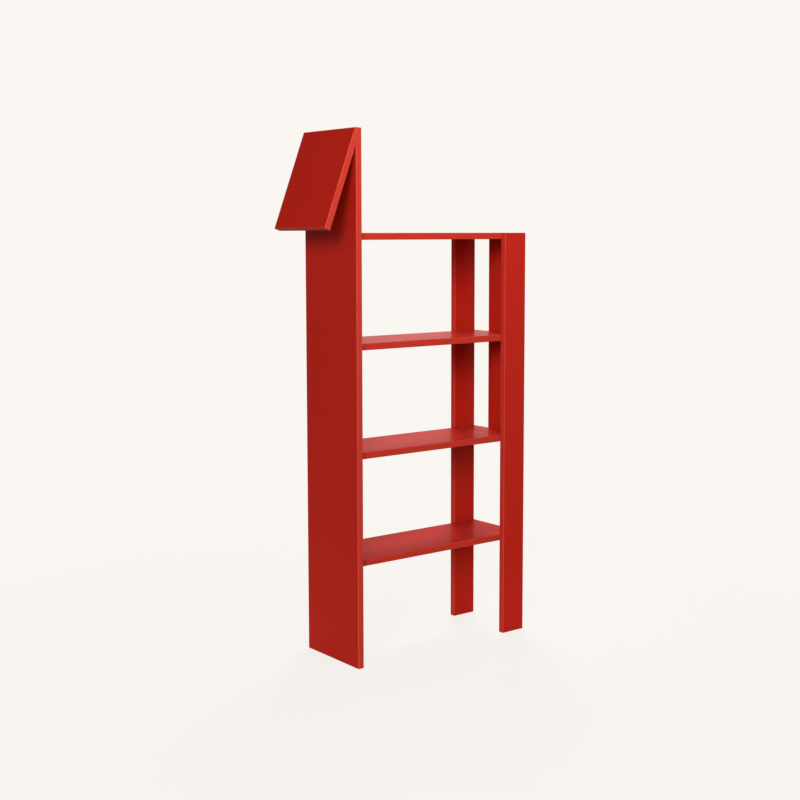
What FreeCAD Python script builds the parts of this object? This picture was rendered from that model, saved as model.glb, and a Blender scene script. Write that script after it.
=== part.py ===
import FreeCAD, Part
import os

import Sketcher

# An open bookshelf for a child's room in the shape of a giraffe. A full-height panel is the neck
# and front legs, a slanting plate on it is the head, and two strips are the rear legs. A shorter
# strip between them is the tail, and shelves carried by all of these are the body.
# +X runs from the head to the tail, +Y from the front to the back and +Z up. The origin lies on
# the floor under the middle of the overall box. Lengths are millimetres and angles degrees.

DIMENSIONS = {
    # Boards
    "board_thickness": 18.0,
    "edge_radius": 2.0,
    "neck_height": 1420.0,
    "shelf_length": 576.0,
    "shelf_depth": 200.0,
    "lowest_shelf_height": 288.0,
    "shelf_pitch": 288.0,
    "leg_width": 78.0,
    "tail_width": 78.0,
    "head_length": 274.0,
    "head_angle": 20.65,
    "head_land": 2.0,
    # Places of the fittings, measured from the edges of the boards
    "neck_bolt_inset": 50.0,
    "neck_dowel_inset": 20.0,
    "strip_dowel_inset": 15.0,
    "cam_setback": 24.0,
    "panel_cover": 6.0,
    "head_screw_inset": 30.0,
    "head_dowel_inset": 74.0,
    "head_fitting_margin": 10.0,
    "head_cover": 4.0,
    # Wooden dowels
    "dowel_diameter": 8.0,
    "dowel_length": 30.0,
    "dowel_chamfer": 1.0,
    "head_dowel_diameter": 6.0,
    # Cam bolts and the cam discs that draw them in
    "bolt_thread_diameter": 5.0,
    "bolt_shank_diameter": 7.0,
    "bolt_neck_diameter": 4.0,
    "bolt_head_diameter": 6.5,
    "bolt_head_length": 3.0,
    "cam_diameter": 15.0,
    "cam_recess_width": 1.8,
    "cam_recess_length": 7.0,
    "cam_recess_depth": 2.5,
    # Countersunk screws that hold the head
    "screw_diameter": 4.0,
    "screw_head_diameter": 8.0,
    "screw_head_angle": 90.0,
    "screw_recess_width": 1.2,
    "screw_recess_length": 4.0,
    "screw_recess_depth": 1.5,
    # Clearances
    "fit_clearance": 0.1,
    "end_clearance": 0.5,
    "bolt_bore_clearance": 0.5,
    "cam_slot_clearance": 0.3,
}

# Shelves from the lowest to the highest, and how many of them, from the top, the tail hangs on.
SHELVES = ("lower_shelf", "middle_shelf", "upper_shelf", "top_shelf")
TAIL_SHELVES = 3
FIRST_TAIL_SHELF = len(SHELVES) - TAIL_SHELVES

# Screws across the head's depth, and the margin when edges are sorted by their place.
HEAD_SCREWS = 3
PLACE_TOLERANCE = 0.01

# Sizes that follow from the driving dimensions, as expressions.
BOARD = "dims.board_thickness"
MID_BOARD = "(dims.board_thickness / 2)"
HALF_SHELF = "(dims.shelf_depth / 2)"
HALF_DEPTH = "(dims.shelf_depth / 2 + dims.board_thickness)"
LEG_HEIGHT = f"(dims.lowest_shelf_height + {len(SHELVES) - 1} * dims.shelf_pitch)"
TAIL_BOTTOM = (f"(dims.lowest_shelf_height + {FIRST_TAIL_SHELF} * dims.shelf_pitch"
               " - dims.board_thickness)")
TAIL_LENGTH = f"({LEG_HEIGHT} - {TAIL_BOTTOM})"
AXIS_HEIGHT = f"(dims.lowest_shelf_height - {MID_BOARD})"

HEAD_SIN = "sin(dims.head_angle * 1 deg)"
HEAD_COS = "cos(dims.head_angle * 1 deg)"
HEAD_TAN = "tan(dims.head_angle * 1 deg)"
HEAD_OUT = f"(dims.head_land + dims.head_length * {HEAD_SIN})"
HEAD_DOWN = f"(dims.head_length * {HEAD_COS})"
HEAD_CONTACT = f"((dims.board_thickness - dims.head_land * {HEAD_COS}) / {HEAD_SIN})"
HEAD_DROP = f"({HEAD_CONTACT} - dims.head_fitting_margin)"
HEAD_BORE = (f"(dims.head_land + ({HEAD_DROP} - dims.head_dowel_diameter / 2) * {HEAD_TAN}"
             " - dims.head_cover)")

# The rounded corner at the head's lower end is the outermost point on that side.
HEAD_REACH = f"({HEAD_OUT} - dims.edge_radius * ({HEAD_COS} + {HEAD_SIN} - 1))"
NECK_X = f"(({HEAD_REACH} - dims.shelf_length) / 2 - dims.board_thickness)"
SHELF_X = f"({NECK_X} + dims.board_thickness)"
TAIL_X = f"({SHELF_X} + dims.shelf_length)"
LEG_MIDDLE_X = f"({TAIL_X} - dims.leg_width / 2)"

NECK_BOLT_Y = f"({HALF_SHELF} - dims.neck_bolt_inset)"
NECK_DOWEL_Y = f"({HALF_SHELF} - dims.neck_dowel_inset)"
LEG_DOWEL_SIDE = "(dims.leg_width / 2 - dims.strip_dowel_inset)"
TAIL_DOWEL_SIDE = "(dims.tail_width / 2 - dims.strip_dowel_inset)"
HEAD_SCREW_Y = f"({HALF_DEPTH} - dims.head_screw_inset)"
HEAD_DOWEL_Y = f"({HALF_DEPTH} - dims.head_dowel_inset)"

BLIND_DEPTH = "(dims.board_thickness - dims.panel_cover)"
PANEL_GRIP = f"({BLIND_DEPTH} - dims.end_clearance)"
DOWEL_REACH = f"(dims.dowel_length - {PANEL_GRIP})"
DOWEL_BORE = "(dims.dowel_diameter + 2 * dims.fit_clearance)"
THREAD_BORE = "(dims.bolt_thread_diameter + 2 * dims.fit_clearance)"
BOLT_BORE = "(dims.bolt_shank_diameter + 2 * dims.bolt_bore_clearance)"
CAM_BORE = "(dims.cam_diameter + 2 * dims.fit_clearance)"
CAM_HEIGHT = f"({MID_BOARD} + dims.bolt_head_diameter / 2)"
CAM_BORE_DEPTH = f"({CAM_HEIGHT} + dims.fit_clearance)"
HEAD_DOWEL_BORE = "(dims.head_dowel_diameter + 2 * dims.fit_clearance)"
SCREW_BORE = "(dims.screw_diameter + 2 * dims.fit_clearance)"
COUNTERSINK = "(dims.screw_head_diameter + 2 * dims.fit_clearance)"
SCREW_HEAD_DEPTH = ("((dims.screw_head_diameter - dims.screw_diameter) / 2"
                    " / tan(dims.screw_head_angle * 0.5 deg))")

doc = FreeCAD.newDocument("bookshelf")
sheet = doc.addObject("Spreadsheet::Sheet", "dims")
for row, (alias, number) in enumerate(DIMENSIONS.items(), start=1):
    sheet.set(f"A{row}", alias)
    sheet.set(f"B{row}", str(number))
    sheet.setAlias(f"B{row}", alias)
doc.recompute()

# Each finished piece with the number of solids that it has to hold.
pieces = []


def value(expression):
    """Number that an expression gives with the sheet's present cells."""
    result = sheet.evalExpression(expression)
    return float(getattr(result, "Value", result))


def origin_feature(body, role):
    """Plane or axis of the body's own origin."""
    return next(item for item in body.Origin.OriginFeatures if item.Role == role)


def new_body(name, place, yaw=0.0, solids=1):
    """Body of one piece, or of a group of like pieces, turned about Z and then put in its place."""
    body = doc.addObject("PartDesign::Body", name)
    body.Label = name
    body.AllowCompound = solids > 1
    body.Placement.Rotation = FreeCAD.Rotation(FreeCAD.Vector(0, 0, 1), yaw)
    for axis, expression in zip("xyz", place):
        body.setExpression(f"Placement.Base.{axis}", expression)
    pieces.append((body, solids))
    return body


def new_sketch(body, role, lift="0"):
    """Sketch on one of the body's own planes, lifted along that plane's normal."""
    sketch = body.newObject("Sketcher::SketchObject", body.Name + "_sketch")
    sketch.AttachmentSupport = [(origin_feature(body, role), "")]
    sketch.MapMode = "FlatFace"
    if lift != "0":
        sketch.setExpression("AttachmentOffset.Base.z", lift)
    return sketch


def tie_point(sketch, geometry, point, x, y):
    """Tie a point of the sketch to two expressions measured from the sketch's origin."""
    for kind, axis, expression in (("DistanceX", -2, x), ("DistanceY", -1, y)):
        if expression == "0":
            sketch.addConstraint(Sketcher.Constraint("PointOnObject", geometry, point, axis))
            continue
        index = sketch.addConstraint(
            Sketcher.Constraint(kind, -1, 1, geometry, point, value(expression)))
        sketch.setExpression(f"Constraints[{index}]", expression)


def draw_outline(sketch, corners):
    """Closed outline through corners whose coordinates are expressions."""
    count = len(corners)
    points = [FreeCAD.Vector(value(x), value(y), 0) for x, y in corners]
    for index in range(count):
        sketch.addGeometry(Part.LineSegment(points[index], points[(index + 1) % count]))
    for index in range(count):
        sketch.addConstraint(
            Sketcher.Constraint("Coincident", index, 2, (index + 1) % count, 1))
    for index, (x, y) in enumerate(corners):
        tie_point(sketch, index, 1, x, y)
    return sketch


def draw_circles(sketch, centres, diameter):
    """Circles of one diameter at the given centres."""
    for x, y in centres:
        middle = FreeCAD.Vector(value(x), value(y), 0)
        circle = Part.Circle(middle, FreeCAD.Vector(0, 0, 1), value(diameter) / 2)
        geometry = sketch.addGeometry(circle)
        tie_point(sketch, geometry, 3, x, y)
        index = sketch.addConstraint(
            Sketcher.Constraint("Diameter", geometry, value(diameter)))
        sketch.setExpression(f"Constraints[{index}]", diameter)
    return sketch


def cross_corners(x, y, length, width):
    """Corners of an upright cross about a point, from its arm length and arm width."""
    arm, side = f"{length} / 2", f"{width} / 2"
    steps = (("-", arm, "-", side), ("-", side, "-", side), ("-", side, "-", arm),
             ("+", side, "-", arm), ("+", side, "-", side), ("+", arm, "-", side),
             ("+", arm, "+", side), ("+", side, "+", side), ("+", side, "+", arm),
             ("-", side, "+", arm), ("-", side, "+", side), ("-", arm, "+", side))
    return [(f"({x} {sx} {dx})", f"({y} {sy} {dy})") for sx, dx, sy, dy in steps]


def pad(body, sketch, length, symmetric=False):
    """Solid from the sketch along its normal, or to both sides of it."""
    feature = body.newObject("PartDesign::Pad", body.Name + "_pad")
    feature.Profile = sketch
    feature.SideType = "Symmetric" if symmetric else "One side"
    feature.setExpression("Length", length)
    doc.recompute()
    return feature


def revolve(body, sketch):
    """Turned solid about the sketch's horizontal axis."""
    feature = body.newObject("PartDesign::Revolution", body.Name + "_turned")
    feature.Profile = sketch
    feature.ReferenceAxis = (sketch, ["H_Axis"])
    feature.Angle = 360
    doc.recompute()
    return feature


def pocket(body, sketch, depth, forward=False):
    """Cut against the sketch's normal, or along it where forward is set."""
    before = body.Shape.Volume
    feature = body.newObject("PartDesign::Pocket", body.Name + "_pocket")
    feature.Profile = sketch
    feature.Reversed = forward
    feature.setExpression("Length", depth)
    doc.recompute()
    if body.Shape.Volume >= before:
        raise RuntimeError(f"{feature.Name} cuts nothing")
    return feature


def round_edges(body, blank, stays_sharp):
    """Round the blank's edges, apart from those that lie in a joint."""
    names = [f"Edge{number}" for number, edge in enumerate(blank.Shape.Edges, start=1)
             if not stays_sharp(edge.BoundBox)]
    rounding = body.newObject("PartDesign::Fillet", body.Name + "_rounding")
    rounding.Base = (blank, names)
    rounding.setExpression("Radius", "dims.edge_radius")
    doc.recompute()
    return rounding


def mirror(body, features):
    """Repeat cuts on the other side of the body's XZ plane."""
    copy = body.newObject("PartDesign::Mirrored", body.Name + "_mirror")
    copy.Originals = features
    copy.MirrorPlane = (origin_feature(body, "XZ_Plane"), [""])
    body.Tip = copy
    doc.recompute()
    return copy


def repeat(body, role, spacing, count, cuts=None):
    """Repeat the given cuts, or else the whole piece, at even spacing along one of its axes."""
    row = body.newObject("PartDesign::LinearPattern", body.Name + "_row")
    if cuts:
        row.Originals = cuts
    else:
        row.TransformMode = "Whole shape"
    row.Direction = (origin_feature(body, role), [""])
    row.Mode = "Spacing"
    row.setExpression("Offset", spacing)
    row.Occurrences = count
    body.Tip = row
    doc.recompute()
    return row


def repeat_fitting(body, side, count):
    """Repeat a fitting on the other side of the joint's middle, and then at each shelf above."""
    if side != "0":
        repeat(body, "Y_Axis", f"2 * {side}", 2)
    repeat(body, "Z_Axis", "dims.shelf_pitch", count)


def make_neck():
    """Full-height panel with the shelf holes on its inner face and the head's holes at its top."""
    body = new_body("neck_panel", (NECK_X, "0", "0"))
    blank = pad(body, draw_outline(new_sketch(body, "YZ_Plane"), [
        (f"-{HALF_DEPTH}", "0"), (HALF_DEPTH, "0"),
        (HALF_DEPTH, "dims.neck_height"), (f"-{HALF_DEPTH}", "dims.neck_height")]), BOARD)
    top = value("dims.neck_height") - value(MID_BOARD)
    middle = value(MID_BOARD)
    round_edges(body, blank, lambda box: box.ZMin > top and box.XMax < middle)

    shelf_holes = new_sketch(body, "YZ_Plane", BOARD)
    draw_circles(shelf_holes, [(NECK_BOLT_Y, AXIS_HEIGHT)], THREAD_BORE)
    draw_circles(shelf_holes, [(NECK_DOWEL_Y, AXIS_HEIGHT)], DOWEL_BORE)
    draw_circles(shelf_holes, [(f"-{NECK_BOLT_Y}", AXIS_HEIGHT)], THREAD_BORE)
    draw_circles(shelf_holes, [(f"-{NECK_DOWEL_Y}", AXIS_HEIGHT)], DOWEL_BORE)
    blind = pocket(body, shelf_holes, BLIND_DEPTH)
    repeat(body, "Z_Axis", "dims.shelf_pitch", len(SHELVES), [blind])

    drop = f"(dims.neck_height - {HEAD_DROP})"
    head_dowels = draw_circles(
        new_sketch(body, "YZ_Plane"),
        [(HEAD_DOWEL_Y, drop), (f"-{HEAD_DOWEL_Y}", drop)], HEAD_DOWEL_BORE)
    pocket(body, head_dowels, "(dims.board_thickness - dims.head_cover)", forward=True)

    screw_holes = draw_circles(
        new_sketch(body, "YZ_Plane", BOARD),
        [(f"-{HEAD_SCREW_Y}", drop), ("0", drop), (HEAD_SCREW_Y, drop)], SCREW_BORE)
    before = body.Shape.Volume
    hole = body.newObject("PartDesign::Hole", body.Name + "_hole")
    hole.Profile = screw_holes
    doc.recompute()
    hole.DepthType = "ThroughAll"
    hole.DrillPoint = "Flat"
    hole.HoleCutType = "Countersink"
    hole.HoleCutCustomValues = True
    hole.setExpression("Diameter", SCREW_BORE)
    hole.setExpression("HoleCutDiameter", COUNTERSINK)
    hole.setExpression("HoleCutCountersinkAngle", "dims.screw_head_angle * 1 deg")
    doc.recompute()
    if body.Shape.Volume >= before:
        raise RuntimeError("the screw holes cut nothing")


def make_head():
    """Slanting plate whose upper end is cut to lie flat on the neck's outer face."""
    body = new_body("head_panel", (NECK_X, "0", "dims.neck_height"))
    blank = pad(body, draw_outline(new_sketch(body, "XZ_Plane"), [
        ("0", "0"), ("-dims.head_land", "0"), (f"-{HEAD_OUT}", f"-{HEAD_DOWN}"),
        (f"({BOARD} * {HEAD_COS} - {HEAD_OUT})", f"-({HEAD_DOWN} + {BOARD} * {HEAD_SIN})"),
        ("0", f"-{HEAD_CONTACT}")]), f"2 * {HALF_DEPTH}", symmetric=True)
    joint_edge = -value("dims.head_land") - PLACE_TOLERANCE
    round_edges(body, blank, lambda box: box.XMin > joint_edge)

    drop = f"-{HEAD_DROP}"
    dowels = draw_circles(
        new_sketch(body, "YZ_Plane"),
        [(HEAD_DOWEL_Y, drop), (f"-{HEAD_DOWEL_Y}", drop)], HEAD_DOWEL_BORE)
    pocket(body, dowels, HEAD_BORE)
    screws = draw_circles(
        new_sketch(body, "YZ_Plane"),
        [(f"-{HEAD_SCREW_Y}", drop), ("0", drop), (HEAD_SCREW_Y, drop)], SCREW_BORE)
    pocket(body, screws, HEAD_BORE)


def make_strip(name, width, length, first_hole, count, place, yaw):
    """Upright strip with blind holes on its inner face, level with each shelf that it holds."""
    body = new_body(name, place, yaw)
    side = f"({width} / 2)"
    dowel_side = f"({width} / 2 - dims.strip_dowel_inset)"
    blank = pad(body, draw_outline(new_sketch(body, "XZ_Plane"), [
        (f"-{side}", "0"), (side, "0"), (side, length), (f"-{side}", length)]), BOARD)
    round_edges(body, blank, lambda box: False)
    holes = new_sketch(body, "XZ_Plane")
    draw_circles(holes, [("0", first_hole)], THREAD_BORE)
    draw_circles(holes, [(dowel_side, first_hole), (f"-{dowel_side}", first_hole)], DOWEL_BORE)
    blind = pocket(body, holes, BLIND_DEPTH, forward=True)
    repeat(body, "Z_Axis", "dims.shelf_pitch", count, [blind])


def make_shelf(name, level):
    """Shelf with bores in its ends and long edges and cam bores in its underside."""
    underside = f"(dims.lowest_shelf_height + {level} * dims.shelf_pitch - {BOARD})"
    body = new_body(name, (SHELF_X, "0", underside))
    blank = pad(body, draw_outline(new_sketch(body, "XY_Plane"), [
        ("0", f"-{HALF_SHELF}"), ("dims.shelf_length", f"-{HALF_SHELF}"),
        ("dims.shelf_length", HALF_SHELF), ("0", HALF_SHELF)]), BOARD)
    middle = value("dims.shelf_length") / 2
    round_edges(body, blank, lambda box: box.XMax < middle)

    leg_bolt_x = "(dims.shelf_length - dims.leg_width / 2)"
    leg_dowels = [(f"({leg_bolt_x} - {LEG_DOWEL_SIDE})", MID_BOARD),
                  (f"({leg_bolt_x} + {LEG_DOWEL_SIDE})", MID_BOARD)]
    dowel_depth = f"({DOWEL_REACH} + dims.end_clearance)"
    rear_edge = f"-{HALF_SHELF}"
    sides = [
        pocket(body, draw_circles(new_sketch(body, "YZ_Plane"), [(NECK_BOLT_Y, MID_BOARD)],
                                  BOLT_BORE), "dims.cam_setback", forward=True),
        pocket(body, draw_circles(new_sketch(body, "YZ_Plane"), [(NECK_DOWEL_Y, MID_BOARD)],
                                  DOWEL_BORE), dowel_depth, forward=True),
        pocket(body, draw_circles(new_sketch(body, "XZ_Plane", rear_edge),
                                  [(leg_bolt_x, MID_BOARD)], BOLT_BORE),
               "dims.cam_setback", forward=True),
        pocket(body, draw_circles(new_sketch(body, "XZ_Plane", rear_edge), leg_dowels,
                                  DOWEL_BORE), dowel_depth, forward=True),
        pocket(body, draw_circles(new_sketch(body, "XY_Plane"),
                                  [("dims.cam_setback", NECK_BOLT_Y),
                                   (leg_bolt_x, f"({HALF_SHELF} - dims.cam_setback)")],
                                  CAM_BORE), CAM_BORE_DEPTH, forward=True),
    ]
    if level >= FIRST_TAIL_SHELF:
        right_end = "dims.shelf_length"
        sides.append(pocket(
            body, draw_circles(new_sketch(body, "YZ_Plane", right_end),
                               [(TAIL_DOWEL_SIDE, MID_BOARD)], DOWEL_BORE), dowel_depth))
        pocket(body, draw_circles(new_sketch(body, "YZ_Plane", right_end), [("0", MID_BOARD)],
                                  BOLT_BORE), "dims.cam_setback")
        pocket(body, draw_circles(new_sketch(body, "XY_Plane"),
                                  [("(dims.shelf_length - dims.cam_setback)", "0")],
                                  CAM_BORE), CAM_BORE_DEPTH, forward=True)
    mirror(body, sides)


def make_dowels(name, place, yaw, side, count):
    """Chamfered dowels across one joint, half in the panel and half in the shelves."""
    body = new_body(name, place, yaw, 2 * count)
    radius, chamfer = "dims.dowel_diameter / 2", "dims.dowel_chamfer"
    profile = new_sketch(body, "XZ_Plane", side)
    draw_outline(profile, [
        (f"-{PANEL_GRIP}", "0"), (DOWEL_REACH, "0"), (DOWEL_REACH, f"({radius} - {chamfer})"),
        (f"({DOWEL_REACH} - {chamfer})", f"({radius})"),
        (f"({chamfer} - {PANEL_GRIP})", f"({radius})"),
        (f"-{PANEL_GRIP}", f"({radius} - {chamfer})")])
    revolve(body, profile)
    repeat_fitting(body, side, count)


def make_bolts(name, place, yaw, side, count):
    """Cam bolts: thread in the panel, shank in the shelf's edge, neck and head in the cam disc."""
    body = new_body(name, place, yaw, count if side == "0" else 2 * count)
    thread, shank = "(dims.bolt_thread_diameter / 2)", "(dims.bolt_shank_diameter / 2)"
    neck, head = "(dims.bolt_neck_diameter / 2)", "(dims.bolt_head_diameter / 2)"
    tip = f"({thread} / 2)"
    shank_end = "(dims.cam_setback - dims.cam_diameter / 2 - dims.end_clearance)"
    head_start = "(dims.cam_setback - dims.bolt_head_length / 2)"
    head_end = "(dims.cam_setback + dims.bolt_head_length / 2)"
    profile = new_sketch(body, "XZ_Plane", side)
    draw_outline(profile, [
        (f"-{PANEL_GRIP}", "0"), (head_end, "0"), (head_end, head), (head_start, head),
        (head_start, neck), (shank_end, neck), (shank_end, shank), ("0", shank), ("0", thread),
        (f"({tip} - {PANEL_GRIP})", thread), (f"-{PANEL_GRIP}", tip)])
    revolve(body, profile)
    repeat_fitting(body, side, count)


def make_cams(name, place, yaw, side, count):
    """Cam discs in the shelves' undersides, slotted for the bolt, with a driver's cross below."""
    body = new_body(name, place, yaw, count if side == "0" else 2 * count)
    centre_y = "0" if side == "0" else f"-{side}"
    disc = new_sketch(body, "XY_Plane", f"-{MID_BOARD}")
    pad(body, draw_circles(disc, [("dims.cam_setback", centre_y)], "dims.cam_diameter"), CAM_HEIGHT)

    clearance = "dims.cam_slot_clearance"
    neck_side = f"(dims.bolt_neck_diameter / 2 + {clearance})"
    head_side = f"(dims.bolt_head_diameter / 2 + {clearance})"
    mouth = "(dims.cam_setback - dims.cam_diameter / 2 - dims.end_clearance)"
    head_start = f"(dims.cam_setback - dims.bolt_head_length / 2 - {clearance})"
    head_end = f"(dims.cam_setback + dims.bolt_head_length / 2 + {clearance})"
    slot = [(mouth, "-", neck_side), (head_start, "-", neck_side), (head_start, "-", head_side),
            (head_end, "-", head_side), (head_end, "+", head_side), (head_start, "+", head_side),
            (head_start, "+", neck_side), (mouth, "+", neck_side)]
    top = new_sketch(body, "XY_Plane", "(dims.bolt_head_diameter / 2)")
    draw_outline(top, [(x, f"({centre_y} {sign} {y})") for x, sign, y in slot])
    pocket(body, top, f"(dims.bolt_head_diameter + {clearance})")

    bottom = new_sketch(body, "XY_Plane", f"-{MID_BOARD}")
    draw_outline(bottom, cross_corners("dims.cam_setback", centre_y, "dims.cam_recess_length",
                                       "dims.cam_recess_width"))
    pocket(body, bottom, "dims.cam_recess_depth", forward=True)
    repeat_fitting(body, side, count)


def make_head_screws(place):
    """Countersunk screws from the neck's inner face into the head."""
    body = new_body("head_screws", place, 0.0, HEAD_SCREWS)
    shank, head = "(dims.screw_diameter / 2)", "(dims.screw_head_diameter / 2)"
    end = f"({HEAD_BORE} - dims.end_clearance)"
    profile = new_sketch(body, "XZ_Plane", HEAD_SCREW_Y)
    draw_outline(profile, [
        (f"-{end}", "0"), (BOARD, "0"), (BOARD, head),
        (f"({BOARD} - {SCREW_HEAD_DEPTH})", shank), (f"({shank} - {end})", shank)])
    revolve(body, profile)
    recess = new_sketch(body, "YZ_Plane", BOARD)
    draw_outline(recess, cross_corners(f"-{HEAD_SCREW_Y}", "0", "dims.screw_recess_length",
                                       "dims.screw_recess_width"))
    pocket(body, recess, "dims.screw_recess_depth")
    repeat(body, "Y_Axis", f"2 * {HEAD_SCREW_Y} / {HEAD_SCREWS - 1}", HEAD_SCREWS)


def make_head_dowels(place):
    """Chamfered dowels that line the head up on the neck."""
    body = new_body("head_dowels", place, 0.0, 2)
    radius, chamfer = "dims.head_dowel_diameter / 2", "dims.dowel_chamfer"
    left = f"({HEAD_BORE} - dims.end_clearance)"
    right = "(dims.board_thickness - dims.head_cover - dims.end_clearance)"
    profile = new_sketch(body, "XZ_Plane", HEAD_DOWEL_Y)
    draw_outline(profile, [
        (f"-{left}", "0"), (right, "0"), (right, f"({radius} - {chamfer})"),
        (f"({right} - {chamfer})", f"({radius})"), (f"({chamfer} - {left})", f"({radius})"),
        (f"-{left}", f"({radius} - {chamfer})")])
    revolve(body, profile)
    repeat(body, "Y_Axis", f"2 * {HEAD_DOWEL_Y}", 2)


make_neck()
make_head()
make_strip("front_leg", "dims.leg_width", LEG_HEIGHT, AXIS_HEIGHT, len(SHELVES),
           (LEG_MIDDLE_X, f"-{HALF_SHELF}", "0"), 0.0)
make_strip("rear_leg", "dims.leg_width", LEG_HEIGHT, AXIS_HEIGHT, len(SHELVES),
           (LEG_MIDDLE_X, HALF_SHELF, "0"), 180.0)
make_strip("tail_panel", "dims.tail_width", TAIL_LENGTH, MID_BOARD, TAIL_SHELVES,
           (TAIL_X, "0", TAIL_BOTTOM), 90.0)
for level, name in enumerate(SHELVES):
    make_shelf(name, level)

tail_axis = f"({TAIL_BOTTOM} + {MID_BOARD})"
JOINTS = (
    ("neck", (SHELF_X, "0", AXIS_HEIGHT), 0.0, NECK_BOLT_Y, NECK_DOWEL_Y, len(SHELVES)),
    ("front_leg", (LEG_MIDDLE_X, f"-{HALF_SHELF}", AXIS_HEIGHT), 90.0, "0", LEG_DOWEL_SIDE,
     len(SHELVES)),
    ("rear_leg", (LEG_MIDDLE_X, HALF_SHELF, AXIS_HEIGHT), -90.0, "0", LEG_DOWEL_SIDE,
     len(SHELVES)),
    ("tail", (TAIL_X, "0", tail_axis), 180.0, "0", TAIL_DOWEL_SIDE, TAIL_SHELVES),
)
for joint, place, yaw, bolt_side, dowel_side, count in JOINTS:
    make_dowels(f"{joint}_dowels", place, yaw, dowel_side, count)
    make_bolts(f"{joint}_cam_bolts", place, yaw, bolt_side, count)
    make_cams(f"{joint}_cam_discs", place, yaw, bolt_side, count)

head_place = (NECK_X, "0", f"(dims.neck_height - {HEAD_DROP})")
make_head_screws(head_place)
make_head_dowels(head_place)

doc.recompute()
for item in doc.Objects:
    if "Invalid" in item.State or "Error" in item.State:
        raise RuntimeError(f"{item.Name} failed: {item.State}")
for body, solids in pieces:
    if body.Shape.isNull() or not body.Shape.isValid():
        raise RuntimeError(f"{body.Label} has no valid shape")
    if len(body.Shape.Solids) != solids:
        raise RuntimeError(f"{body.Label} has {len(body.Shape.Solids)} solids, not {solids}")

os.makedirs("parts", exist_ok=True)
for body, solids in pieces:
    body.Shape.exportStep(f"parts/{body.Label}.step")
    box = body.Shape.optimalBoundingBox(False, False)
    print(f"{body.Label}: {solids} solids, X {box.XMin:.2f} to {box.XMax:.2f},"
          f" Y {box.YMin:.2f} to {box.YMax:.2f}, Z {box.ZMin:.2f} to {box.ZMax:.2f}")
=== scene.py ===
"""Open bookshelf for a child's room in a giraffe's shape, in satin red lacquer, on a pale floor."""
import logging
import math
from abc import ABC, abstractmethod
from collections.abc import Callable
from dataclasses import dataclass, field
from enum import Enum

import bpy
import numpy as np
from mathutils import Matrix, Vector
from mathutils.geometry import delaunay_2d_cdt


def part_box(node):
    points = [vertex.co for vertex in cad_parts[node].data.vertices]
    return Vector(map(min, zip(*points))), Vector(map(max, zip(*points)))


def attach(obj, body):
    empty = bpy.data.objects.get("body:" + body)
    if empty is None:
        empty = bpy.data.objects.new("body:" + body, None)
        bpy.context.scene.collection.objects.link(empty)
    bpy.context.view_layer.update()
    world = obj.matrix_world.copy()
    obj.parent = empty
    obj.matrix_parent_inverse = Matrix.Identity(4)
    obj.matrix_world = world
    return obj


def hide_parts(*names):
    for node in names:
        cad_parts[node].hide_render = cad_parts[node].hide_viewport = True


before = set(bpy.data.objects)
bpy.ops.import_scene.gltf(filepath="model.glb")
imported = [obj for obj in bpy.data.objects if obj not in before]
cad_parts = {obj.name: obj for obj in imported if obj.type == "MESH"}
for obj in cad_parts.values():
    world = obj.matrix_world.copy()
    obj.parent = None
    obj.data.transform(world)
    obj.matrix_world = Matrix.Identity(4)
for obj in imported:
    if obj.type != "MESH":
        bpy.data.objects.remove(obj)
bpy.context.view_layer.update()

log = logging.getLogger("bookshelf")

Colour = tuple[float, float, float]
Place = tuple[float, float, float]
Material = bpy.types.Material
Socket = bpy.types.NodeSocket
Value = Socket | float | Colour

BODY = "root"
IMAGE_SIZE = 800

# Lengths are in metres, here and in the classes.
BOARD = 0.018
EDGE_RADIUS = 0.002
WELD = 1e-7
SEAT_TOLERANCE = 2e-4

ARC_STEPS = 6
BORE_STEPS = 40
FLOOR_SPOKES = 64
CDT_INSIDE_WITH_HOLES = 2


class Across(Enum):
    """The axis of a board's thickness; the outline lies in the next two axes in turn."""

    X = 0
    Y = 1
    Z = 2


class Side(Enum):
    """The low or the high end of a board's thickness."""

    LOW = -1.0
    HIGH = 1.0

    def normal(self) -> np.ndarray:
        """The way that this face looks, in outline and thickness coordinates."""
        return np.array([0.0, 0.0, self.value])


def srgb(red: int, green: int, blue: int) -> Colour:
    """Turn a colour as seen on a screen into linear light.

    Args:
        red: Red from 0 to 255.
        green: Green from 0 to 255.
        blue: Blue from 0 to 255.

    Returns:
        The three linear values: below 0.04045 the value over 12.92, above it a power of 2.4.
    """
    seen = np.array([red, green, blue]) / 255.0
    linear = np.where(seen <= 0.04045, seen / 12.92, ((seen + 0.055) / 1.055) ** 2.4)
    return tuple(float(value) for value in linear)


def circle(steps: int) -> np.ndarray:
    """Points of a unit circle: the cosine and sine of evenly spaced angles."""
    angle = np.arange(steps) * 2 * np.pi / steps
    return np.column_stack([np.cos(angle), np.sin(angle)])


def rectangle(low: tuple[float, float], high: tuple[float, float]) -> np.ndarray:
    """Corners of a rectangle, counter-clockwise from the lowest."""
    return np.array([low, (high[0], low[1]), high, (low[0], high[1])])


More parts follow.
